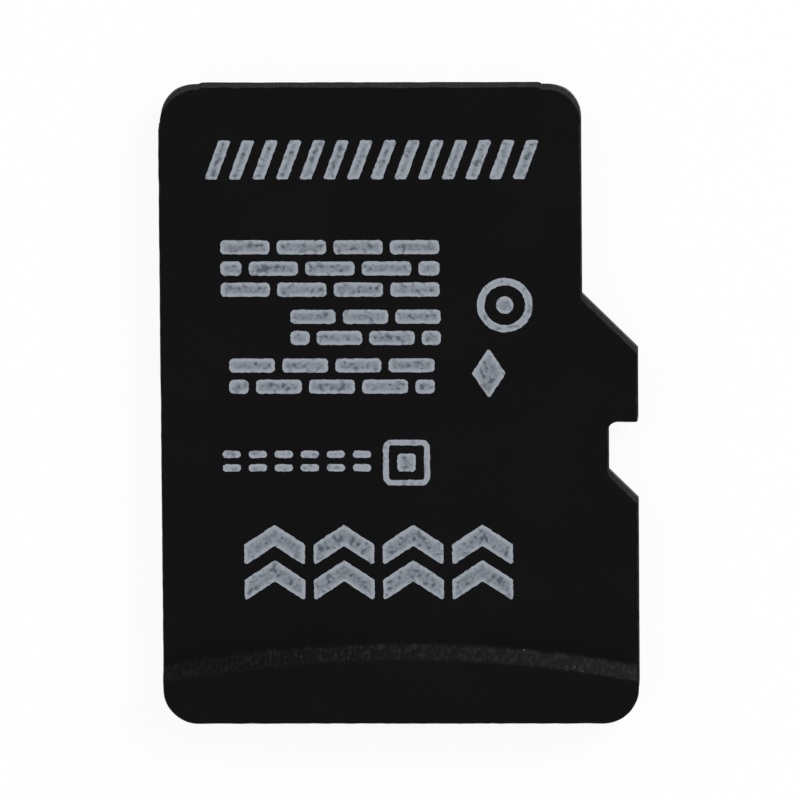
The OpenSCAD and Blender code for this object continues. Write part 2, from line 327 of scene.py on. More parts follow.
@dataclass(frozen=True)
class RoughRamp(Finish):
    """The spark-eroded grip band on the ramp, its colour painted with light: darker at the left end, paler
    towards the notched side.
    """

    name: str = "mould_ramp"
    plain_colour: Colour = EPOXY
    # Painted light and shade: the ramp's colour runs from this dark tone at its left end to the paler one
    # below towards the notched side.
    colour: Colour = (0.0016, 0.0016, 0.0017)
    painted_light_colour: Colour = (0.0085, 0.0085, 0.0086)
    painted_light_reach: Span = (-7.5, 7.0)
    grain: Grain = (0.085, 0.16, 0.16)
    # Painted highlight: the grain's crests are painted paler, as if they caught the light.
    painted_crest_colour: Colour = (0.021, 0.021, 0.021)
    crest_mask: Span = (0.45, 0.8)
    # Painted glints: a few bright grains painted into the colour, towards the notched side.
    painted_glint: Grain = 0.09
    painted_glint_colour: Colour = (0.12, 0.12, 0.12)
    painted_glint_mask: Span = (0.78, 0.92)
    crumb: Grain = 0.07
    crumb_mask: Span = (0.74, 0.9)
    depth: float = 0.006
    roughness: float = 0.5
    specular: float = 0.1

    def sockets(self, graph: Graph) -> dict[str, Any]:
        """Coarse grain with painted highlights on its crests and a few painted glints, which crumbles at
        its borders.

        Args:
            graph: The material's tree.

        Returns:
            The shader's inputs by name.
        """
        place = graph.place()
        # Painted light: a mask along x that grows towards the notched side.
        painted_light = graph.axis(place, "X").between(*self.painted_light_reach)
        grain = graph.noise(place, self.grain)
        # Painted highlight on the crests, stronger towards the notched side with the painted light.
        painted_crest = grain.between(*self.crest_mask) * (painted_light * 0.7 + 0.3)
        # Painted glints, only where the painted light reaches.
        painted_glint = graph.noise(place, self.painted_glint, 0.0).between(*self.painted_glint_mask) * painted_light
        # The ramp's colour: the painted light gradient, then the painted crest highlights and glints.
        shade = graph.blend(painted_light * painted_light, self.colour, self.painted_light_colour)
        shade = graph.blend(painted_crest, shade, self.painted_crest_colour)
        shade = graph.blend(painted_glint, shade, self.painted_glint_colour)
        inside = graph.rim()
        crumb = graph.noise(place, self.crumb, 1.0)
        band = (inside + crumb).between(*self.crumb_mask)
        return {
            "Base Color": graph.blend(band, self.plain_colour, shade),
            "Roughness": self.roughness + (1 - painted_crest) * 0.2,
            "Specular IOR Level": self.specular,
            "Normal": graph.bump(grain, self.depth),
        }


@dataclass(frozen=True)
class LabelInk(Finish):
    """Blue-grey pad-printing ink, thin enough for pits to show."""

    name: str = "label_ink"
    colour: Colour = (0.264, 0.295, 0.334)
    thin_colour: Colour = (0.112, 0.129, 0.153)
    thin: Grain = (0.9, 0.7, 0.9)
    mottle: Grain = 0.085
    mottle_mask: Span = (0.3, 0.7)
    pit: Grain = 0.11
    pit_colour: Colour = (0.052, 0.062, 0.077)
    pit_mask: Span = (0.6, 0.72)
    rim_colour: Colour = (0.336, 0.369, 0.412)
    depth: float = 0.002
    roughness: float = 0.6
    specular: float = 0.3

    def sockets(self, graph: Graph) -> dict[str, Any]:
        """Slow changes of thickness, a fine mottle, small pits and a thicker, paler rim.

        Args:
            graph: The material's tree.

        Returns:
            The shader's inputs by name.
        """
        place = graph.place()
        mottle = graph.noise(place, self.mottle)
        thin = graph.noise(place, self.thin)
        pit = graph.noise(place, self.pit, 0.0).between(*self.pit_mask)
        rim = graph.rim()
        thinness = mottle.between(*self.mottle_mask) * 0.6 + thin * 0.4 - 0.05
        coat = graph.blend(thinness, self.colour, self.thin_colour)
        coat = graph.blend(rim * 0.8, coat, self.rim_colour)
        return {
            "Base Color": graph.blend(pit * (1 - rim * 0.5) * 0.75, coat, self.pit_colour),
            "Roughness": self.roughness + mottle * 0.15,
            "Specular IOR Level": self.specular,
            "Normal": graph.bump(mottle - pit * 0.5, self.depth),
        }


@dataclass(frozen=True)
class MaskedLaminate(Finish):
    """Laminate under dark solder mask, with its layers bare on the cut sides."""

    name: str = "board_laminate"
    mask_colour: Colour = (0.006, 0.0085, 0.0078)
    resin_colour: Colour = (0.009, 0.0085, 0.007)
    glass_colour: Colour = (0.022, 0.021, 0.017)
    thickness: float = 0.18
    mask_depth: float = 0.022
    mask_blur: float = 0.003
    fibre: Grain = (0.25, 0.25, 0.016)
    fibre_mask: Span = (0.4, 0.62)
    weave: Grain = (0.28, 0.28, 0.3)
    side_mask: Span = (0.9, 0.75)
    depth: float = 0.004
    roughness: float = 0.3
    specular: float = 0.45

    def sockets(self, graph: Graph) -> dict[str, Any]:
        """Satin mask over a faint weave; glass and resin layers at the sides.

        Args:
            graph: The material's tree.

        Returns:
            The shader's inputs by name.
        """
        place = graph.place()
        height = graph.axis(place, "Z")
        facing = graph.add("NewGeometry", {}, {}, "Normal")
        side = graph.add("SeparateXYZ", {}, {0: facing}, "Z").size().between(*self.side_mask)
        top = self.thickness - self.mask_depth
        low = height.between(self.mask_depth - self.mask_blur, self.mask_depth + self.mask_blur)
        high = height.between(top + self.mask_blur, top - self.mask_blur)
        core = side * low * high
        fibre = graph.noise(place, self.fibre)
        laminate = graph.blend(fibre.between(*self.fibre_mask), self.resin_colour, self.glass_colour)
        weave = graph.noise(place, self.weave, 1.0)
        return {
            "Base Color": graph.blend(core * 0.85, self.mask_colour, laminate),
            "Roughness": core * 0.3 + weave * 0.1 + self.roughness,
            "Specular IOR Level": self.specular,
            "Normal": graph.bump(weave * (1 - core) * 0.5 + fibre * core, self.depth),
        }


@dataclass(frozen=True)
class Metal(Finish):
    """A plated, drawn or reflowed metal."""

    name: str
    colour: Colour
    tarnish_colour: Colour
    roughness: float
    grain: Grain
    depth: float = 0.002
    cloud: Grain = 0.5
    cloud_mask: Span = (0.4, 0.8)

    def sockets(self, graph: Graph) -> dict[str, Any]:
        """Brushed or dappled by the grain, with a cloud of tarnish.

        Args:
            graph: The material's tree.

        Returns:
            The shader's inputs by name.
        """
        place = graph.place()
        grain = graph.noise(place, self.grain, 3.0)
        cloud = graph.noise(place, self.cloud)
        tarnish = cloud.between(*self.cloud_mask) * 0.5
        return {
            "Base Color": graph.blend(tarnish, self.colour, self.tarnish_colour),
            "Metallic": 1.0,
            "Roughness": self.roughness + grain * 0.16 + cloud * 0.06,
            "Normal": graph.bump(grain, self.depth),
        }


@dataclass(frozen=True)
class WipedGold(Finish):
    """Hard gold on a contact, with the tracks that socket springs leave."""

    name: str = "contact_gold"
    colour: Colour = (0.87, 0.62, 0.27)
    worn_colour: Colour = (0.80, 0.64, 0.40)
    pitch: float = 1.1
    middle: float = -0.65
    track: float = 0.07
    reach: Grain = (0.3, 0.35, 0.3)
    reach_mask: Span = (0.38, 0.5)
    lines: Grain = (0.02, 0.9, 0.5)
    dapple: Grain = 0.12
    depth: float = 0.0016
    roughness: float = 0.24

    def sockets(self, graph: Graph) -> dict[str, Any]:
        """A dull track down the middle of each contact, fine lines along its length.

        Args:
            graph: The material's tree.

        Returns:
            The shader's inputs by name.
        """
        place = graph.place()
        across = (graph.axis(place, "X") - self.middle) / self.pitch
        offset = (across.math("FRACT", across + 0.02) - 0.5) * self.pitch
        lines = graph.noise(place, self.lines)
        reach = graph.noise(place, self.reach, 1.0).between(*self.reach_mask)
        wiped = offset.size().between(self.track, self.track / 2) * reach
        dapple = graph.noise(place, self.dapple)
        return {
            "Base Color": graph.blend(wiped * 0.7, self.colour, self.worn_colour),
            "Metallic": 1.0,
            "Roughness": self.roughness + wiped * 0.16 + lines * 0.08 + dapple * 0.08,
            "Normal": graph.bump(lines * (wiped * 0.8 + 0.2) + dapple * 0.3, self.depth),
        }


@dataclass(frozen=True)
class Solid(Finish):
    """A plain non-metal of the parts moulded in: silicon, film or ceramic."""

    name: str
    colour: Colour
    second_colour: Colour
    roughness: float
    grain: Grain
    depth: float = 0.001
    mask: Span = (0.35, 0.65)

    def sockets(self, graph: Graph) -> dict[str, Any]:
        """Two tones mixed by the grain.

        Args:
            graph: The material's tree.

        Returns:
            The shader's inputs by name.
        """
        grain = graph.noise(graph.place(), self.grain, 3.0)
        return {
            "Base Color": graph.blend(grain.between(*self.mask), self.colour, self.second_colour),
            "Roughness": self.roughness + grain * 0.15,
            "Normal": graph.bump(grain, self.depth),
        }


def turned(vector: Array, angles: Array) -> Array:
    """A vector turned counter-clockwise by each of the angles, n by 2."""
    cosine, sine = np.cos(angles), np.sin(angles)
    return np.stack([vector[0] * cosine - vector[1] * sine, vector[0] * sine + vector[1] * cosine], 1)


def rounded_path(
    corners: Array,
    radii: Array,
    spacing: float,
    closed: bool = True,
    stations: dict[int, Array] | None = None,
) -> tuple[Array, Array]:
    """Samples a polygon whose corners are arcs.

    An arc of radius r at a corner that turns by t touches both sides r tan(t/2) from the
    corner; its points are its first point turned about its centre by equal shares of t.
    Straights between arcs are divided evenly.

    Args:
        corners: Corner places, n by 2, counter-clockwise where closed.
        radii: Radius at each corner.
        spacing: Longest distance between neighbouring points.
        closed: Whether the last corner joins the first.
        stations: Places that replace the even division of the straight after a corner.

    Returns:
        The points and their normals, which point to the right of the path.
    """
    count = len(corners)
    after = np.roll(corners, -1, axis=0) - corners
    after = after / np.linalg.norm(after, axis=1, keepdims=True)
    before = np.roll(after, 1, axis=0)
    turn = np.arctan2(
        before[:, 0] * after[:, 1] - before[:, 1] * after[:, 0], np.sum(before * after, axis=1)
    )
    if not closed:
        turn[[0, -1]] = 0
        before[0] = after[0]
        after[-1] = before[-1]
    cut = (radii * np.tan(np.abs(turn) / 2))[:, None]
    arc_start, arc_end = corners - before * cut, corners + after * cut
    points, tangents = [], []
    for k in range(count):
        bend = abs(turn[k])
        steps = max(int(np.ceil(max(bend / ARC_TURN, radii[k] * bend / spacing))), 1)
        share = np.linspace(0, 1, steps + 1) if bend > HAIR and radii[k] > 0 else np.zeros(1)
        spoke = np.array([before[k, 1], -before[k, 0]]) * np.sign(turn[k]) * radii[k]
        points.append(arc_start[k] - spoke + turned(spoke, share * turn[k]))
        tangents.append(turned(before[k], share * turn[k]))
        if k == count - 1 and not closed:
            break
        start, end = arc_end[k], arc_start[(k + 1) % count]
        if stations and k in stations:
            inner = stations[k]
        else:
            pieces = max(int(np.ceil(np.linalg.norm(end - start) / spacing)), 1)
            inner = start + (end - start) * np.linspace(0, 1, pieces + 1)[1:-1, None]
        points.append(inner)
        tangents.append(np.repeat(after[k][None], len(inner), axis=0))
    tangent = np.concatenate(tangents)
    return np.concatenate(points), np.stack([tangent[:, 1], -tangent[:, 0]], 1)


def resample(loop: Array, count: int) -> Array:
    """Divides a closed loop into equal steps along its length.

    Args:
        loop: Points, n by 2.
        count: Number of points wanted.

    Returns:
        That many points, of which the first is the loop's first.
    """
    closed = np.vstack([loop, loop[:1]])
    along = np.concatenate([[0], np.cumsum(np.linalg.norm(np.diff(closed, axis=0), axis=1))])
    wanted = np.linspace(0, along[-1], count, endpoint=False)
    return np.stack([np.interp(wanted, along, closed[:, axis]) for axis in (0, 1)], 1)


def loop_normals(loop: Array) -> Array:
    """Unit normals of a closed loop, each to the right of the chord between a point's neighbours.

    Args:
        loop: Points, n by 2.

    Returns:
        The normals, n by 2.
    """
    chord = np.roll(loop, -1, axis=0) - np.roll(loop, 1, axis=0)
    normal = np.stack([chord[:, 1], -chord[:, 0]], 1)
    return normal / np.linalg.norm(normal, axis=1, keepdims=True)


def nearest_on(path: Array, points: Array) -> Array:
    """The place on a path of straight runs that lies nearest to each point.

    Each point is projected on every run, clamped to the run's ends, and the closest
    projection is kept.

    Args:
        path: Corners of the path, m by 2.
        points: Points, n by 2.

    Returns:
        Places on the path, n by 2.
    """
    start, run = path[:-1], np.diff(path, axis=0)
    share = ((points[:, None] - start) * run).sum(-1) / np.maximum((run**2).sum(-1), HAIR)
    found = start + run * np.clip(share, 0, 1)[..., None]
    best = np.argmin(((points[:, None] - found) ** 2).sum(-1), axis=1)
    return found[np.arange(len(points)), best]


def at_heights(rows: Array, heights: Array) -> Array:
    """Rows of points seen from above, each row set at its own height: rows by columns by 3."""
    return np.concatenate([rows, np.broadcast_to(heights[:, None, None], (*rows.shape[:2], 1))], -1)


def smooth_noise(
    rng: np.random.Generator, shape: tuple[int, ...], width: tuple[float, ...], wrap: bool = False
) -> Array:
    """Random numbers blurred by a bell curve, brought back to a spread of one.

    Args:
        rng: The seeded source.
        shape: Size of the result.
        width: Width of the bell along each axis, in cells.
        wrap: Whether the last axis closes on itself.

    Returns:
        The blurred numbers.
    """
    values = rng.standard_normal(shape)
    for axis, sigma in enumerate(width):
        reach = int(3 * sigma)
        bell = np.exp(-0.5 * (np.arange(-reach, reach + 1) / sigma) ** 2)
        mode = "wrap" if wrap and axis == len(shape) - 1 else "edge"
        padding = [(reach, reach) if a == axis else (0, 0) for a in range(len(shape))]
        padded = np.pad(values, padding, mode=mode)
        windows = (np.take(padded, np.arange(k, k + shape[axis]), axis=axis) for k in range(len(bell)))
        values = sum(weight * window for weight, window in zip(bell, windows))
    return values / values.std()


def grid_faces(index: Array, wrap: bool, flip: bool = False) -> Array:
    """Quads between neighbouring rows and columns of a grid of vertex numbers.

    Args:
        index: Vertex numbers, rows by columns.
        wrap: Whether the last column joins the first.
        flip: Whether the faces turn over.

    Returns:
        Vertex numbers, n by 4.
    """
    beside = np.roll(index, -1, axis=1)
    quads = np.stack([index[:-1], beside[:-1], beside[1:], index[1:]], axis=-1)
    quads = quads if wrap else quads[:, :-1]
    quads = quads.reshape(-1, 4)
    return quads[:, ::-1] if flip else quads


@dataclass
class Piece:
    """A mesh in the making, in millimetres, with a finish for each face."""

    name: str
    slot: str
    coat: Finish | None = None
    points: list[Array] = field(default_factory=list)
    rims: list[Array] = field(default_factory=list)
    faces: list[list[int]] = field(default_factory=list)
    finish_of_face: list[int] = field(default_factory=list)
    finishes: list[Finish] = field(default_factory=list)

    def add_points(self, points: Array, rim: Array | float = 0.0) -> Array:
        """Adds vertices.

        Args:
            points: Places with x, y and z last; any number of leading axes.
            rim: How much each belongs to the piece's rim, 0 to 1; one number for all, or
                one for each row.

        Returns:
            Their numbers, in the shape of the leading axes.
        """
        start = sum(len(p) for p in self.points)
        flat = points.reshape(-1, 3)
        self.points.append(flat)
        self.rims.append(np.repeat(rim, len(flat) // np.size(rim)))
        return np.arange(start, start + len(flat)).reshape(points.shape[:-1])

    def add_faces(self, faces: Array, finish: Finish | None = None) -> None:
        """Adds faces of one finish.

        Args:
            faces: Vertex numbers, one row for each face.
            finish: Their finish, where it isn't the piece's coat.
        """
        finish = finish or self.coat
        if finish not in self.finishes:
            self.finishes.append(finish)
        self.faces.extend(faces.tolist())
        self.finish_of_face.extend([self.finishes.index(finish)] * len(faces))

    def build(self, sharp: float, replaced: tuple[str, ...] = ()) -> None:
        """Makes the object, which rides on the card.

        Args:
            sharp: Edges that turn more than this many degrees stay sharp.
            replaced: The solids that it stands for.
        """
        mesh = bpy.data.meshes.new(self.name)
        mesh.from_pydata((np.concatenate(self.points) * MM).tolist(), [], self.faces)
        for finish in self.finishes:
            mesh.materials.append(finish.material())
        mesh.polygons.foreach_set("material_index", self.finish_of_face)
        mesh.polygons.foreach_set("use_smooth", [True] * len(self.faces))
        mesh.set_sharp_from_angle(angle=math.radians(sharp))
        rims = np.concatenate(self.rims).astype(np.float32)
        if rims.any():
            mesh.attributes.new(RIM, "FLOAT", "POINT").data.foreach_set("value", rims)
        mesh.validate()
        made = show(self.name, mesh)
        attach(made, BODY)
        if replaced:
            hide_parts(*replaced)
        log.info("%s: %d vertices, %d faces", self.name, len(mesh.vertices), len(mesh.polygons))


@dataclass
class MouldedBody:
    """The epoxy body: label face, ramp, finger lip and the walls cut round them."""

    node: str = "moulded_body"
    front_width: float = 9.72
    shoulder_start: float = 5.0
    notch_start: float = 7.92
    notch_depth: float = 0.68
    notch_floor: float = 1.24
    notch_radius: float = 0.2
    front_left_radius: float = 0.83
    front_right_radius: float = 0.8
    rear_radius: float = 0.83
    corner_inset: float = 0.05
    corner_side_inset: float = 0.04
    corner_run: float = 0.12
    half_step: float = 0.02
    left_step: float = 0.09
    body_thickness: float = 0.7
    lip_length: float = 1.55
    ramp_run: float = 0.23
    lip_arc_radius: float = 29.0
    front_bevel: float = 0.2
    edge_break: float = 0.022
    edge_wear: float = 0.007
    wear_width: float = 1.2
    wear_limits: Span = (-1.5, 2.0)
    rim: float = 0.048
    ramp_margin: float = 0.06
    ramp_spill: float = 0.046
    toe_radius: float = 0.12
    brow_radius: float = 0.035
    tip_radius: float = 0.06
    crook_radius: float = 0.058
    wall_rows: int = 7
    break_rows: int = 5
    path_spacing: float = 0.05
    cut_wobble: float = 0.004
    cut_widths: Span = (1.5, 2.0)
    grain_spacing: float = 0.0165
    grain_height: float = 0.0045
    fine_widths: Span = (1.6, 1.1)
    fine_share: float = 0.75
    coarse_widths: Span = (7.0, 2.2)
    coarse_share: float = 0.65
    end_fade: float = 0.04
    sharp: float = 40.0
    seed: int = 11

    def __post_init__(self) -> None:
        """Reads the solid's box."""
        low, high = (np.array(corner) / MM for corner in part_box(self.node))
        self.left, self.rear, self.foot_z = low
        self.right, self.front, self.lip_z = high
        self.arc_y = self.rear + self.lip_length - self.lip_arc_radius
        self.rng = np.random.default_rng(self.seed)

    def ramp_profile(self) -> Array:
        """The ramp's section: distance from the arc's centre, and height.

        A level run on the label face, a small hollow, the slope, a small round and a level
        run on the lip.

        Returns:
            Points from the label face to the lip, n by 2.
        """
        foot = self.lip_arc_radius + self.ramp_run
        corners = np.array(
            [
                [foot + self.ramp_margin + self.ramp_spill, self.body_thickness],
                [foot, self.body_thickness],
                [self.lip_arc_radius, self.lip_z],
                [self.lip_arc_radius - self.ramp_margin, self.lip_z],
            ]
        )
        radii = np.array([0, self.toe_radius, self.brow_radius, 0])
        return rounded_path(corners, radii, self.grain_spacing, closed=False)[0]

    def ramp_y(self, reach: Array, x: Array) -> Array:
        """The y place at x of a circle of radius reach about the arc's centre."""
        return self.arc_y + np.sqrt(reach**2 - x**2)

    def outline(self, rows: Array) -> tuple[Array, Array, Array]:
        """The card's outline from above, counter-clockwise.

        Args:
            rows: The ramp's rows on the rim, as y places from the label face to the lip.

        Returns:
            Points, outward normals, and the numbers of the points on the ramp's two ends, with
            the right end's row first; both run from the label face to the lip.
        """
        narrow = self.left + self.front_width
        wall = self.front - self.notch_start
        slant = wall - self.notch_floor
        floor = self.right - self.notch_depth
        shoulder = self.front - self.shoulder_start
        inset, side_inset, step = self.corner_inset, self.corner_side_inset, self.half_step
        right_run = self.front_right_radius + self.corner_run
        left_run = self.front_left_radius + side_inset + self.corner_run
        left_fall = self.front_left_radius + inset + self.corner_run
        tip, crook = self.tip_radius, self.crook_radius
        marks = [
            (self.left, self.rear, self.rear_radius),
            (self.right, self.rear, self.rear_radius),
            (self.right, rows[-1], 0),
            (self.right, rows[0], 0),
            (self.right, slant - self.notch_depth, tip),
            (floor, slant, crook),
            (floor, wall, self.notch_radius),
            (self.right, wall, tip),
            (self.right, shoulder - (self.right - narrow), tip),
            (narrow, shoulder, crook),
            (narrow, self.front - inset, self.front_right_radius),
            (narrow - right_run + step, self.front - inset, crook),
            (narrow - right_run - step, self.front, crook),
            (self.left + left_run + step, self.front, crook),
            (self.left + left_run - self.left_step, self.front - inset, crook),
            (self.left + side_inset, self.front - inset, self.front_left_radius),
            (self.left + side_inset, self.front - left_fall + step, crook),
            (self.left, self.front - left_fall - step, crook),
            (self.left, rows[0], 0),
            (self.left, rows[-1], 0),
        ]
        inner = rows[1:-1]
        rising = np.stack([np.full(len(inner), self.right), inner[::-1]], 1)
        falling = np.stack([np.full(len(inner), self.left), inner], 1)
        stations = {
            marks.index((self.right, rows[-1], 0)): rising,
            marks.index((self.left, rows[0], 0)): falling,
        }
        marks = np.array(marks)
        points, normals = rounded_path(marks[:, :2], marks[:, 2], self.path_spacing, stations=stations)
        x, y = points.T
        level = (y >= rows[-1] - HAIR) & (y <= rows[0] + HAIR)
        ends = [np.flatnonzero(level & (np.abs(x - side) < HAIR)) for side in (self.right, self.left)]
        return points, normals, np.array([end[np.argsort(-y[end])] for end in ends])

    def wall_grid(self, points: Array, normals: Array, top: Array) -> Array:
        """The walls with their broken upper edge, as rows round the outline.

        Height rises evenly to the edge's arc. The edge is a quarter circle whose radius
        wavers with wear, and the last row lies on the face, one rim inside the outline. The
        cut wobbles inwards by smoothed noise. The front leans back below the bevel's height.

        Args:
            points: The outline.
            normals: Its outward normals.
            top: The face's height at each point.

        Returns:
            Places, rows by points by 3.
        """
        count = len(points)
        wear = smooth_noise(self.rng, (count,), (self.wear_width,), True)
        radius = self.edge_break + self.edge_wear * np.clip(wear, *self.wear_limits)
        share = np.linspace(0, 1, self.wall_rows)[:, None]
        level = self.front_bevel + (top - radius - self.front_bevel) * share
        level = np.vstack([np.full((1, count), self.foot_z), level])
        wobble = smooth_noise(self.rng, level.shape, self.cut_widths, True)
        inset = self.cut_wobble * np.clip(wobble * 0.5 + 0.5, 0, 2)
        inset[0] = inset[1]
        angle = np.linspace(0, np.pi / 2, self.break_rows + 1)[1:, None]
        arc_level = top - radius * (1 - np.sin(angle))
        arc_inset = inset[-1] + radius * (1 - np.cos(angle))
        level = np.vstack([level, arc_level, top[None]])
        inset = np.vstack([inset, arc_inset, np.full((1, count), self.rim)])
        plan = points[None] - normals[None] * inset[..., None]
        lean = self.front - np.clip(self.front_bevel - level, 0, None)
        plan[..., 1] = np.minimum(plan[..., 1], lean)
        return np.concatenate([plan, level[..., None]], axis=-1)

    def ramp_grid(self, profile: Array, across: Array) -> Array:
        """The ramp's rough strip.

        Each profile row follows its circle about the arc's centre. Noise in two grain sizes
        moves each point along the section's normal, and dies away at the strip's borders; no
        point sinks below the label face or rises above the lip.

        Args:
            profile: The section, distance from the arc's centre and height.
            across: Places across the card.

        Returns:
            Places, rows by columns by 3.
        """
        reach, height = profile[:, :1], profile[:, 1:]
        y = self.ramp_y(reach, across[None])
        grid = np.stack([np.broadcast_to(across, y.shape), y, np.broadcast_to(height, y.shape)], -1)
        slope = np.gradient(profile, axis=0)
        slope /= np.linalg.norm(slope, axis=1, keepdims=True)
        outward = np.stack([-slope[:, 1], slope[:, 0]], 1)
        outward *= np.where(outward[:, 1:] < 0, -1, 1)
        radial = np.stack([across[None] / reach, np.sqrt(1 - (across[None] / reach) ** 2)], -1)
        fine = self.fine_share * smooth_noise(self.rng, y.shape, self.fine_widths)
        coarse = self.coarse_share * smooth_noise(self.rng, y.shape, self.coarse_widths)
        border = np.minimum(reach[0] - reach, reach - reach[-1]) - 0.1 * self.ramp_margin
        window = np.clip(border / (0.8 * self.ramp_margin), 0, 1)
        window = window * np.clip((across[-1] - np.abs(across[None])) / self.end_fade, 0, 1)
        lift = self.grain_height * window * (fine + coarse)
        grid[..., :2] += (lift * outward[:, :1])[..., None] * radial
        grid[..., 2] += lift * outward[:, 1:]
        grid[..., 2] = np.clip(grid[..., 2], self.body_thickness, self.lip_z)
        return grid

    def build(self) -> None:
        """Makes the skin: walls, label face, ramp and lip as one closed shell."""
        face, cut, ramp = MouldedFace(), SawnEdge(), RoughRamp()
        profile = self.ramp_profile()
        edge = self.right - self.rim
        rows = self.ramp_y(profile[:, 0], np.full(len(profile), edge))
        points, normals, ends = self.outline(rows)
        top = np.interp(points[:, 1], rows[::-1], profile[::-1, 1])
        skin = Piece("body_skin", "mould")
        wall = skin.add_points(self.wall_grid(points, normals, top))
        skin.add_faces(grid_faces(wall[:-1], True), cut)
        skin.add_faces(grid_faces(wall[-2:], True), face)
        across = np.linspace(-edge, edge, int(2 * edge / self.grain_spacing) + 1)
        strip = self.ramp_grid(profile, across)
        rim = wall[-1]
        numbers = np.empty(strip.shape[:2], int)
        border = np.minimum(profile[0, 0] - profile[:, 0], profile[:, 0] - profile[-1, 0])
        numbers[:, 1:-1] = skin.add_points(strip[:, 1:-1], np.clip(border / (2 * self.ramp_margin), 0, 1))
        numbers[:, -1], numbers[:, 0] = rim[ends[0]], rim[ends[1]]
        skin.add_faces(grid_faces(numbers, False, flip=True), ramp)
        first, last = ends[0][0], ends[1][0]
        label = np.concatenate([rim[first : last + 1], numbers[0, 1:-1]])
        lip = np.concatenate([rim[ends[1][-1] :], rim[: ends[0][-1] + 1], numbers[-1, -2:0:-1]])
        for cap in (label, lip):
            skin.add_faces(cap[None], face)
        skin.add_faces(wall[0][None, ::-1], cut)
        skin.build(self.sharp, (self.node,))


class Course(Enum):
    """How a course of bricks begins."""

    WHOLE = 0.0
    HALF = 0.5


@dataclass
class LabelPrint:
    """Fields of ink on the label face, in plain shapes."""

    face_z: float = 0.7
    thickness: float = 0.006
    sunk: float = 0.2
    crown: float = 0.95
    spacing: float = 0.02
    raggedness: float = 0.004
    ragged_width: float = 1.3
    ragged_limit: float = 2.0
    shoulder: float = 0.045
    inner_shares: tuple[float, ...] = (0.3, 0.6, 0.9)
    rim_from: float = 0.108
    rim_to: float = 0.052
    corner: float = 0.05
    brick_length: float = 1.15
    brick_height: float = 0.33
    brick_gap: float = 0.17
    brick_corner: float = 0.1
    pill_corner: float = 0.08
    sharp: float = 15.0
    seed: int = 23
    ink: Finish = LabelInk()

    def __post_init__(self) -> None:
        """Starts the seeded noise."""
        self.rng = np.random.default_rng(self.seed)

    def waver(self, count: int) -> Array:
        """How far each point of a loop strays outwards: smoothed noise."""
        noise = smooth_noise(self.rng, (count,), (self.ragged_width,), True)
        return self.raggedness * np.clip(noise, -self.ragged_limit, self.ragged_limit)

    def rim(self, depth: Array) -> Array:
        """How much of the paler rim lies this far inside an outline, 0 to 1."""
        return np.clip((self.rim_from - depth) / (self.rim_from - self.rim_to), 0, 1)

    def plate(self, piece: Piece, corners: Array, radius: float, spine: Array) -> None:
        """Adds a solid field of ink: its outline stands up to a shoulder and a level top.

        Each outer row follows the outline's normals: it stands back by its own inset and
        keeps its own share of the outline's waver. Each inner row lies a share of the way
        from the shoulder to the nearest place on the spine.

        Args:
            piece: What it is added to.
            corners: Its corners, counter-clockwise.
            radius: Radius of every corner, no less than the shoulder.
            spine: The line along its middle, m by 2.
        """
        loop, outward = self.rounded(corners, radius)
        # Each outer row's inset, share of the waver and height as a share of the thickness.
        section = np.array(
            [
                [0, 1, -self.sunk],
                [0, 1, 0.5],
                [0.6 * self.thickness, 1, 1],
                [0.5 * self.shoulder, 0.5, 1],
                [self.shoulder, 0, self.crown],
            ]
        )
        insets, kept, levels = section.T
        stray = kept[:, None] * self.waver(len(loop)) - insets[:, None]
        rows = loop + outward * stray[..., None]
        inwards = nearest_on(spine, rows[-1]) - rows[-1]
        shares = np.array(self.inner_shares)
        levels = np.append(levels, np.full(len(shares), self.crown))
        rows = np.concatenate([rows, rows[-1] + inwards * shares[:, None, None]])
        depths = np.concatenate([insets, self.shoulder + shares * np.linalg.norm(inwards, axis=1).min()])
        grid = at_heights(rows, self.face_z + self.thickness * levels)
        index = piece.add_points(grid, self.rim(depths))
        piece.add_faces(grid_faces(index, True))
        piece.add_faces(index[-1][None])
        piece.add_faces(index[0][None, ::-1])

    def frame(self, piece: Piece, outer: Array, inner: Array) -> None:
        """Adds a field of ink with a hole: one section carried round between two loops.

        Args:
            piece: What it is added to.
            outer: The outer loop, counter-clockwise.
            inner: The hole's loop, from the same corner.
        """
        count = int(np.linalg.norm(np.diff(outer, axis=0), axis=1).sum() / self.spacing)
        out, hole = (resample(loop, count) for loop in (outer, inner))
        out, hole = (loop + loop_normals(loop) * self.waver(count)[:, None] for loop in (out, hole))
        low, high = self.face_z - self.sunk * self.thickness, self.face_z + self.thickness
        side = high - 0.4 * self.thickness
        shares = np.array([0, 0, 0.03, 0.25, 0.5, 0.75, 0.97, 1, 1])
        levels = np.array([low, side, high, high, high, high, high, side, low])
        rows = out * (1 - shares[:, None, None]) + hole * shares[:, None, None]
        stroke = np.linalg.norm(out - hole, axis=1).min()
        rim = self.rim(np.minimum(shares, 1 - shares) * stroke)
        index = piece.add_points(at_heights(rows, levels), rim)
        piece.add_faces(grid_faces(np.vstack([index, index[:1]]), True))

    @staticmethod
    def box(centre: tuple[float, float], width: float, height: float) -> Array:
        """The corners of an upright rectangle, counter-clockwise."""
        signs = np.array([[-1, -1], [1, -1], [1, 1], [-1, 1]])
        return np.array(centre) + signs * np.array([width, height]) / 2

    def rounded(self, corners: Array, radius: float) -> tuple[Array, Array]:
        """A closed loop with every corner at one radius, and its outward normals."""
        return rounded_path(corners, np.full(len(corners), radius), self.spacing)

    def block(
        self, piece: Piece, centre: tuple[float, float], width: float, height: float, radius: float
    ) -> None:
        """Adds an upright rectangle of ink.

        Args:
            piece: What it is added to.
            centre: Its middle.
            width: Its width.
            height: Its height.
            radius: Radius of its corners.
        """
        reach = (np.array([width, height]) - min(width, height)) / 2
        spine = np.array([centre - reach, centre + reach])
        self.plate(piece, self.box(centre, width, height), radius, spine)

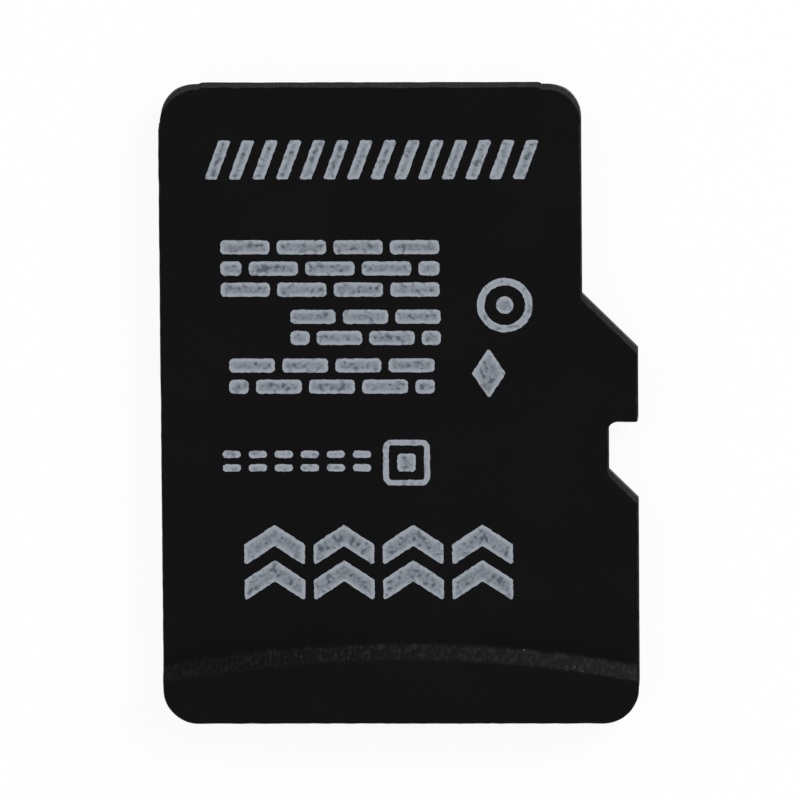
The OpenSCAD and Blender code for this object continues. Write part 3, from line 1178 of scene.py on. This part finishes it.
    def stripes(self, piece: Piece) -> None:
        """Draws a band of slanting stripes near the contact end.

        Args:
            piece: What it is drawn on.
        """
        count, stroke, height, lean = 14, 0.28, 0.92, 0.34
        left, right, low = -4.44, 3.26, 5.32
        shape = np.array([[0, 0], [stroke, 0], [stroke + lean, height], [lean, height]])
        spine = np.array([stroke / 2, 0]) + np.array([[0.14], [0.86]]) * np.array([lean, height])
        for x in np.linspace(left, right - stroke - lean, count):
            place = np.array([x, low])
            self.plate(piece, shape + place, self.corner, spine + place)

    def bricks(self, piece: Piece) -> None:
        """Draws three groups of bricks laid in bond.

        Args:
            piece: What it is drawn on.
        """
        groups = (
            (-4.09, 0.95, 3.72, 3),
            (-2.49, 0.97, 2.08, 2),
            (-3.91, 0.82, 0.93, 2),
        )
        for left, right, top, courses in groups:
            for row in range(courses):
                start = Course.HALF if row % 2 else Course.WHOLE
                self.course(piece, left, right, top - row * (self.brick_height + self.brick_gap), start)

    def course(self, piece: Piece, left: float, right: float, y: float, start: Course) -> None:
        """Adds one course of bricks, with half bricks where it needs them.

        Args:
            piece: What it is added to.
            left: Its left end.
            right: Its right end.
            y: Its middle.
            start: Whether it begins with a whole brick or a half one.
        """
        gap, height, radius = self.brick_gap, self.brick_height, self.brick_corner
        count = round((right - left) / self.brick_length)
        pitch = (right - left + gap) / count
        joints = left + (np.arange(count + 1) - start.value) * pitch
        for near, far in zip(joints, joints[1:]):
            low, high = max(near, left), min(far - gap, right)
            self.block(piece, ((low + high) / 2, y), high - low, height, radius)
        last = joints[-1]
        if right - last > 2 * gap:
            self.block(piece, ((last + right) / 2, y), right - last, height, radius)

    def ring(self, piece: Piece) -> None:
        """Draws a ring between two circles of evenly turned points, round a dot.

        Args:
            piece: What it is drawn on.
        """
        centre, radius, stroke, dot, points = (2.45, 2.35), 0.64, 0.17, 0.2, 160
        angle = np.linspace(0, 2 * np.pi, points, endpoint=False)
        circle = np.stack([np.cos(angle), np.sin(angle)], 1)
        self.frame(piece, centre + circle * radius, centre + circle * (radius - stroke))
        self.block(piece, centre, 2 * dot, 2 * dot, 0.99 * dot)

    def lozenge(self, piece: Piece) -> None:
        """Draws a solid lozenge.

        Args:
            piece: What it is drawn on.
        """
        centre, half_width, half_height, half_spine = (2.07, 0.74), 0.39, 0.6, 0.25
        shape = np.array([[0, -half_height], [half_width, 0], [0, half_height], [-half_width, 0]])
        spine = np.array([[0, -half_spine], [0, half_spine]])
        self.plate(piece, centre + shape, self.corner, centre + spine)

    def pills(self, piece: Piece) -> None:
        """Draws two rows of small pills that end in a framed square.

        Args:
            piece: What it is drawn on.
        """
        count, left, right, lines, width, height = 6, -3.87, -0.87, (-1.17, -1.49), 0.42, 0.17
        centre, side, stroke, radius = (0.16, -1.37), 1.08, 0.13, 0.2
        for x in np.linspace(left, right, count):
            for y in lines:
                self.block(piece, (x, y), width, height, self.pill_corner)
        hole_side = side - 2 * stroke
        outer, _ = self.rounded(self.box(centre, side, side), radius)
        hole, _ = self.rounded(self.box(centre, hole_side, hole_side), radius - stroke)
        self.frame(piece, outer, hole)
        self.block(piece, centre, width, width, self.pill_corner)

    def chevrons(self, piece: Piece) -> None:
        """Draws four pairs of chevrons that point to the contact end.

        Args:
            piece: What it is drawn on.
        """
        count, left, right, low, step = 4, -3.6, 2.6, -4.65, 0.84
        width, rise, stroke = 1.4, 0.47, 0.5
        shape = np.array([[-1, 0], [0, rise], [1, 0], [1, stroke], [0, rise + stroke], [-1, stroke]])
        spine = np.array([[-0.7, 0.3 * rise], [0, rise], [0.7, 0.3 * rise]]) + np.array([0, stroke / 2])
        shape[:, 0] *= width / 2
        spine[:, 0] *= width / 2
        for x in np.linspace(left + width / 2, right - width / 2, count):
            for y in (low, low + step):
                place = np.array([x, y])
                self.plate(piece, shape + place, self.corner, spine + place)

    def build(self) -> None:
        """Makes every field of the print, each as a piece of its own."""
        fields = {
            "print_stripes": self.stripes,
            "print_bricks": self.bricks,
            "print_ring": self.ring,
            "print_lozenge": self.lozenge,
            "print_pills": self.pills,
            "print_chevrons": self.chevrons,
        }
        for name, draw in fields.items():
            piece = Piece(name, "ink", self.ink)
            draw(piece)
            piece.build(self.sharp)


@dataclass
class CastIn:
    """The solids that keep their shape, and the finish each of them gets."""

    board: Finish = MaskedLaminate()
    contact: Finish = WipedGold()
    copper: Finish = Metal("copper_etched", (0.72, 0.36, 0.22), (0.45, 0.2, 0.12), 0.38, 0.03)
    wire: Finish = Metal("gold_wire", (0.93, 0.68, 0.28), (0.85, 0.6, 0.26), 0.14, 0.01, 0.0004)
    tin: Finish = Metal("tin_cap", (0.66, 0.67, 0.69), (0.5, 0.5, 0.51), 0.32, 0.02, 0.001)
    solder: Finish = Metal("solder_joint", (0.6, 0.61, 0.63), (0.5, 0.5, 0.52), 0.24, 0.05, 0.001)
    silicon: Finish = Solid(
        "silicon_die", (0.05, 0.055, 0.075), (0.075, 0.07, 0.085), 0.16, (0.5, 0.12, 0.3)
    )
    film: Finish = Solid("die_film", (0.36, 0.24, 0.08), (0.28, 0.18, 0.06), 0.4, 0.2)
    ceramic: Finish = Solid("chip_ceramic", (0.25, 0.15, 0.085), (0.2, 0.115, 0.06), 0.45, 0.03)
    mould: Finish = MouldedFace()

    def finishes(self) -> dict[str, Finish]:
        """The finish for each kind of node.

        Returns:
            Finishes by how the node's name begins.
        """
        return {
            "board": self.board,
            "contact_vias": self.copper,
            "contact_traces": self.copper,
            "contact_": self.contact,
            "memory_traces": self.copper,
            "capacitor_pads": self.copper,
            "memory_die": self.silicon,
            "memory_film": self.film,
            "memory_wires": self.wire,
            "controller_die": self.silicon,
            "controller_film": self.film,
            "controller_wires": self.wire,
            "capacitor_block": self.ceramic,
            "capacitor_terminals": self.tin,
            "capacitor_solder": self.solder,
            "moulded_body": self.mould,
        }

    def dress(self) -> None:
        """Gives every solid its finish."""
        for name, node in sorted(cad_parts.items()):
            finish = next(f for start, f in self.finishes().items() if name.startswith(start))
            node.data.materials.clear()
            node.data.materials.append(finish.material())
            log.info("%s: %s", name, finish.name)


@dataclass(frozen=True)
class Lamp:
    """A square soft box that faces the card, with lengths in metres."""

    name: str
    azimuth: float
    elevation: float
    distance: float
    side: float
    level: float

    def build(self) -> None:
        """Makes the lamp; its power gives a level white surface the lamp's level."""
        azimuth, elevation = math.radians(self.azimuth), math.radians(self.elevation)
        level, rise = math.cos(elevation), math.sin(elevation)
        towards = Vector((level * math.cos(azimuth), level * math.sin(azimuth), rise))
        data = bpy.data.lights.new(self.name, "AREA")
        data.shape = "SQUARE"
        data.size = self.side
        data.energy = self.level * math.pi**2 * self.distance**2 / rise
        lamp = show(self.name, data)
        lamp.location = towards * self.distance
        lamp.rotation_euler = towards.to_track_quat("Z", "Y").to_euler()


@dataclass
class Studio:
    """Floor, lamps, sky and camera, with lengths in metres, except for the paper's tooth."""

    floor_side: float = 6.0
    floor_points: int = 9
    floor_drop: float = 0.00002
    floor_colour: Colour = (0.95, 0.95, 0.95)
    floor_help: float = 0.92
    tooth: Grain = 0.3
    tooth_depth: float = 0.002
    sky_level: float = 1.0
    zenith_level: float = 0.08
    zenith_mask: Span = (0.85, 0.35)
    tilt_x: float = 0.02935
    tilt_y: float = 0.225
    roll: float = -0.00775
    distance: float = 0.5128
    lens: float = 1001.2
    sensor: float = 36.0
    aim: tuple[float, float, float] = (0.0, 0.0, 0.0005)
    aim_right: float = 0.0000144
    aim_up: float = 0.0000648
    lamps: tuple[Lamp, ...] = (
        Lamp("key", azimuth=44.0, elevation=34.0, distance=0.6, side=0.3, level=0.42),
        Lamp("fill", azimuth=150.0, elevation=34.0, distance=0.6, side=0.35, level=0.12),
        Lamp("rear", azimuth=280.0, elevation=38.0, distance=0.7, side=0.35, level=0.08),
    )

    def camera(self) -> None:
        """Stands the camera at the photograph's angle.

        Its axis of view is given by its tilt from straight down, and it is rolled a little
        about that axis.
        """
        back = Vector((self.tilt_x, self.tilt_y, math.sqrt(1 - self.tilt_x**2 - self.tilt_y**2)))
        level = Vector((0, 1, 0)).cross(back).normalized()
        upright = back.cross(level)
        cosine, sine = math.cos(self.roll), math.sin(self.roll)
        right = level * cosine + upright * sine
        up = upright * cosine - level * sine
        data = bpy.data.cameras.new("camera")
        data.sensor_width = self.sensor
        data.lens = self.lens
        camera = show("camera", data)
        place = Vector(self.aim) + right * self.aim_right + up * self.aim_up + back * self.distance
        turn = Matrix((right, up, back)).transposed().to_4x4()
        camera.matrix_world = Matrix.Translation(place) @ turn
        bpy.context.scene.camera = camera

    def floor(self) -> None:
        """Lays a pale floor that stays nearly white to the camera and keeps a soft shadow."""
        count = self.floor_points
        across = np.linspace(-self.floor_side / 2, self.floor_side / 2, count)
        x, y = np.meshgrid(across, across)
        points = np.stack([x, y, np.full_like(x, -self.floor_drop)], -1).reshape(-1, 3)
        mesh = bpy.data.meshes.new("floor")
        faces = grid_faces(np.arange(count * count).reshape(count, count), False)
        mesh.from_pydata(points.tolist(), [], faces.tolist())
        paper = bpy.data.materials.new("floor_paper")
        graph = Graph(paper)
        normal = graph.bump(graph.noise(graph.place(), self.tooth), self.tooth_depth)
        matt = graph.add("BsdfDiffuse", {}, {"Color": (*self.floor_colour, 1.0), "Normal": normal})
        bright = graph.add("Emission", {}, {"Color": WHITE, "Strength": 1.0})
        kinds = ("Camera", "Glossy", "Transmission")
        seen, glossy, through = (graph.add("LightPath", {}, {}, f"Is {kind} Ray") for kind in kinds)
        seen = seen.maximum(glossy).maximum(through)
        graph.surface(graph.add("MixShader", {}, {0: seen * self.floor_help, 1: matt, 2: bright}))
        mesh.materials.append(paper)
        show("floor", mesh)

    def sky(self) -> None:
        """Lights all round from a pale tent that is dark straight above."""
        world = bpy.data.worlds.new("tent")
        bpy.context.scene.world = world
        graph = Graph(world)
        rise = graph.add("SeparateXYZ", {}, {0: graph.add("TexCoord", {}, {}, "Generated")}, "Z")
        share = rise.between(*self.zenith_mask)
        strength = share * (self.sky_level - self.zenith_level) + self.zenith_level
        tent = graph.add("Background", {}, {"Color": WHITE, "Strength": strength})
        graph.add("OutputWorld", {}, {"Surface": tent})

    def build(self) -> None:
        """Makes the studio."""
        self.camera()
        self.floor()
        self.sky()
        for lamp in self.lamps:
            lamp.build()
        bpy.context.scene.view_settings.view_transform = "Standard"
        log.info("studio: camera, floor, tent and %d lamps", len(self.lamps))


def main() -> None:
    """Builds the card's looks and the studio."""
    logging.basicConfig(level=logging.INFO, format="%(name)s %(message)s")
    CastIn().dress()
    MouldedBody().build()
    LabelPrint().build()
    Studio().build()


if __name__ == "__main__":
    main()
